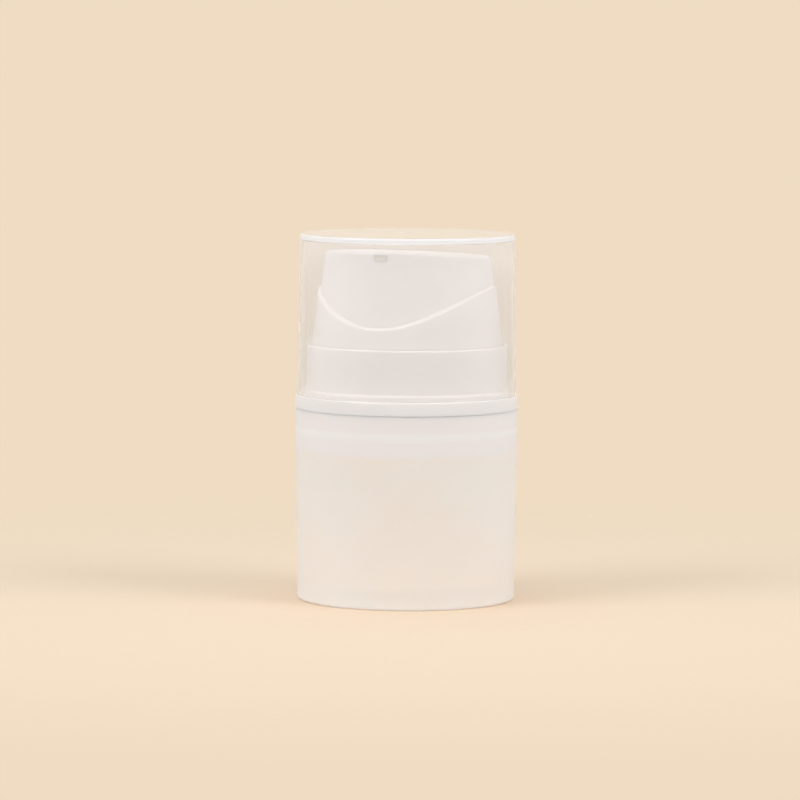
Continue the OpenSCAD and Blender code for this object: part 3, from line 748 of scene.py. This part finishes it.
def makeHeadShell():
    # spun from its front section, then each column is moved to its own section
    piece = turned("head_shell", headProfile(0), steps=head["columns"])
    frontPoints = rounded(headProfile(0), False)
    step = 360 / head["columns"]
    sections = {}
    for vertex in piece.data.vertices:
        x, y, z = vertex.co / mm
        radius = math.hypot(x, y)
        if radius < 0.01:
            continue
        place = Vector((radius, z))
        index = min(range(len(frontPoints)), key=lambda i: (frontPoints[i] - place).length)
        column = round(math.degrees(math.atan2(x, -y)) / step) % head["columns"]
        if column not in sections:
            sections[column] = rounded(headProfile(columnBearing(column)), False)
        r, height = sections[column][index]
        bearing = math.radians(columnBearing(column))
        vertex.co = Vector((r * math.sin(bearing), -r * math.cos(bearing), height)) * mm
    return piece


def cutSlot(piece):
    # opens both walls between the slot's two rows, and joins the openings through the wall
    tilt = math.radians(head["topTilt"])
    r, z = headProfile(0)[1][:2]

    def inSlot(middle, normal):
        depth = (z - (middle.y + r) * math.tan(tilt) - middle.z) * math.cos(tilt)
        inRows = abs(depth - head["slotDrop"]) < head["slotHigh"] / 2
        return inRows and abs(middle.x) < head["slotWide"] / 2 and middle.y < 0 and abs(normal.z) < 0.5

    bpy.ops.object.mode_set(mode="EDIT")
    selectFaces(piece, inSlot)
    bpy.ops.mesh.delete(type="FACE")
    bpy.ops.mesh.select_mode(type="EDGE")
    bpy.ops.mesh.select_all(action="DESELECT")
    bpy.ops.mesh.select_non_manifold()
    bpy.ops.mesh.bridge_edge_loops()
    bpy.ops.mesh.normals_make_consistent(inside=False)
    bpy.ops.object.mode_set(mode="OBJECT")


def addShellRibs(piece):
    # stands each rib out of the inner wall, towards the axis
    for i in range(head["ribCount"]):
        bearing = 180 / head["ribCount"] + i * 360 / head["ribCount"]
        inward = -Vector((math.sin(math.radians(bearing)), -math.cos(math.radians(bearing)), 0))

        def underRib(middle, normal):
            facing = Vector((middle.x, middle.y, 0)).normalized().dot(-inward)
            near = facing > math.cos(math.radians(360 / head["columns"]))
            return near and normal.dot(inward) > 0.9 and middle.z > guideRim + head["ribFoot"]

        bpy.ops.object.mode_set(mode="EDIT")
        selectFaces(piece, underRib)
        move = inward * head["ribDeep"] * mm
        bpy.ops.mesh.extrude_region_move(TRANSFORM_OT_translate={"value": move})
        bpy.ops.object.mode_set(mode="OBJECT")


shell = makeHeadShell()
cutSlot(shell)
addShellRibs(shell)
finishPiece(shell, "head", "white_polypropylene", whitePlastic, "actuator_shell")
print("head shell moulded")


# nozzle tip: a plate on the end of the core's spout, inside the slot, with a plug into the spout

nozzle = {
    "gap": 0.02,         # between the plate and the slot's edges
    "behind": 0.05,      # how far it stays behind the outside of the head
    "deep": 0.18,
    "plugInset": 0.27,   # from the plate's edges to the plug, more than the wall of the spout
    "plugDeep": 0.6,
    "rim": 0.2,          # width of its raised rim
    "dish": 0.04,        # depth of the dish inside the rim
    "flat": 0.1,         # from the rim to where the opening's funnel starts
    "openingWide": 1.0,
    "openingHigh": 0.2,
    "openingDeep": 0.08,
}


def makeNozzleTip():
    # a plate with a plug behind, dished twice in front, which leans with the head's side
    (topRadius, topHeight), (footRadius, footHeight) = headProfile(0)[2:4]
    wide, high = (head[side] - 2 * nozzle["gap"] for side in ("slotWide", "slotHigh"))
    bpy.ops.object.select_all(action="DESELECT")
    bpy.ops.mesh.primitive_cube_add(size=mm)
    piece = bpy.context.object
    piece.name = piece.data.name = "nozzle_tip"
    piece.scale = (wide, nozzle["deep"], high)
    piece.location = (0, (nozzle["behind"] + nozzle["deep"] / 2) * mm, 0)
    bpy.ops.object.transform_apply(location=True, rotation=False, scale=True)
    bpy.ops.object.mode_set(mode="EDIT")
    selectFaces(piece, lambda middle, normal: normal.y > 0.9)
    bpy.ops.mesh.inset(thickness=nozzle["plugInset"] * mm)
    bpy.ops.mesh.extrude_region_move(TRANSFORM_OT_translate={"value": (0, nozzle["plugDeep"] * mm, 0)})
    selectFaces(piece, lambda middle, normal: normal.y < -0.9)
    bpy.ops.mesh.inset(thickness=nozzle["rim"] * mm, depth=-nozzle["dish"] * mm)
    bpy.ops.mesh.inset(thickness=nozzle["flat"] * mm)
    dishWide, dishHigh = (side - 2 * (nozzle["rim"] + nozzle["flat"]) for side in (wide, high))
    narrower, lower = nozzle["openingWide"] / dishWide, nozzle["openingHigh"] / dishHigh
    bpy.ops.transform.resize(value=(narrower, 1, lower))
    bpy.ops.mesh.extrude_region_move(TRANSFORM_OT_translate={"value": (0, nozzle["openingDeep"] * mm, 0)})
    bpy.ops.object.mode_set(mode="OBJECT")
    lean = math.atan2(footRadius - topRadius, topHeight - footHeight)
    piece.rotation_euler.x = -lean
    piece.location = (0, -(topRadius + footRadius) / 2 * mm, (topHeight + footHeight) / 2 * mm)
    bpy.ops.object.transform_apply(location=True, rotation=True, scale=False)
    # painted light: the plate's cream colour stands for the duct behind the slot, lit through the head's
    # thin top
    paintedDuctGlow = whitePolypropylene("natural polypropylene, polished moulding", "#fff0d6", "#feecd0")
    finishPiece(piece, "head", "white_polypropylene", paintedDuctGlow)


makeNozzleTip()
print("nozzle tip fitted")


# return spring, wound from round wire with its end turns closer together

spring = {
    "wire": 0.35,         # radius
    "coil": 4.5,          # radius to the middle of the wire
    "turns": 5,
    "closing": 0.3,       # how much closer the turns are at the ends
    "steps": 64,          # points on a turn
    "squashedTo": 0.555,  # share of its height that is left when the head is pressed
}


def makeSpring():
    low, high = boxOf("return_spring")
    start, tall = low.z + spring["wire"], high.z - low.z - 2 * spring["wire"]
    curve = bpy.data.curves.new("wire_path", "CURVE")
    curve.dimensions = "3D"
    curve.twist_mode = "Z_UP"
    curve.bevel_depth = spring["wire"] * mm
    curve.bevel_resolution = 3
    curve.use_fill_caps = True
    count = int(spring["turns"] * spring["steps"])
    spline = curve.splines.new("POLY")
    spline.points.add(count)
    for i in range(count + 1):
        angle, t = 2 * math.pi * i / spring["steps"], i / count
        z = start + tall * (t - spring["closing"] * math.sin(2 * math.pi * t) / (2 * math.pi))
        x, y = spring["coil"] * math.cos(angle), spring["coil"] * math.sin(angle)
        spline.points[i].co = (x * mm, y * mm, z * mm, 1)
    piece = bpy.data.objects.new("wound_spring", curve)
    bpy.context.scene.collection.objects.link(piece)
    bpy.ops.object.select_all(action="DESELECT")
    piece.select_set(True)
    bpy.context.view_layer.objects.active = piece
    bpy.ops.object.convert(target="MESH")
    piece = bpy.context.object
    steel = stainlessSteel("stainless steel, drawn wire", 0.28, 0.4, 0.4)
    finishPiece(piece, "bottle", "stainless_steel", steel, "return_spring")
    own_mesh(piece)


makeSpring()
print("spring wound")


# ball of the inlet valve

def makeBall():
    low, high = boxOf("inlet_ball")
    bpy.ops.object.select_all(action="DESELECT")
    bpy.ops.mesh.primitive_uv_sphere_add(
        segments=48, ring_count=24, radius=(high.z - low.z) / 2 * mm, location=(low + high) / 2 * mm)
    piece = bpy.context.object
    piece.name = piece.data.name = "ground_ball"
    bpy.ops.object.transform_apply(location=True, rotation=False, scale=False)
    steel = stainlessSteel("stainless steel, ground ball", 0.06, 0.12, 0.8)
    finishPiece(piece, "ball", "stainless_steel", steel, "inlet_ball")


makeBall()
print("ball ground")


# finishes of the pieces that keep their CAD shape

finishes = {
    "follower_piston": lipPlastic,
    "pump_piston": lipPlastic,
    "pump_gasket": softGasket(),
    "pump_housing": pumpPlastic,
    "chaplet": pumpPlastic,
    "pump_stem": pumpPlastic,
    "piston_rod": pumpPlastic,
    "actuator_core": whitePlastic,
}
for name, material in finishes.items():
    nodes[name].data.materials.clear()
    nodes[name].data.materials.append(material)
print("pump pieces finished")
